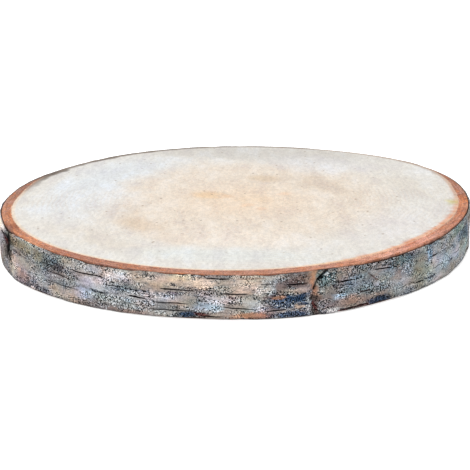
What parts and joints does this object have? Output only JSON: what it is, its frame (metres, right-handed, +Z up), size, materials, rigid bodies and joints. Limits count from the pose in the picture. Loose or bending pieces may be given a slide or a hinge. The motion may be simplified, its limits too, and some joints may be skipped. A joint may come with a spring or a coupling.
{
  "type": "birch wood slice",
  "caption": "Round slice sawn across a birch trunk with its bark on, flat on both faces, for a base, board or stand.",
  "frame": {"origin": "middle of the slice's box on the plane of its lower sawn face", "axes": "+Z up through the slice, along the trunk; -Y is the side seen in front, +X to its right"},
  "size_m": [0.3036, 0.3054, 0.0275],
  "materials": {
    "outer_bark": "dry, papery, grey to tan with dark slits",
    "inner_bark": "sawn, copper brown, matt",
    "sawn_wood": "sawn and sanded, pale cream, matt"
  },
  "bodies": {
    "root": {"birch_slice": "outer_bark"}
  },
  "joints": []
}
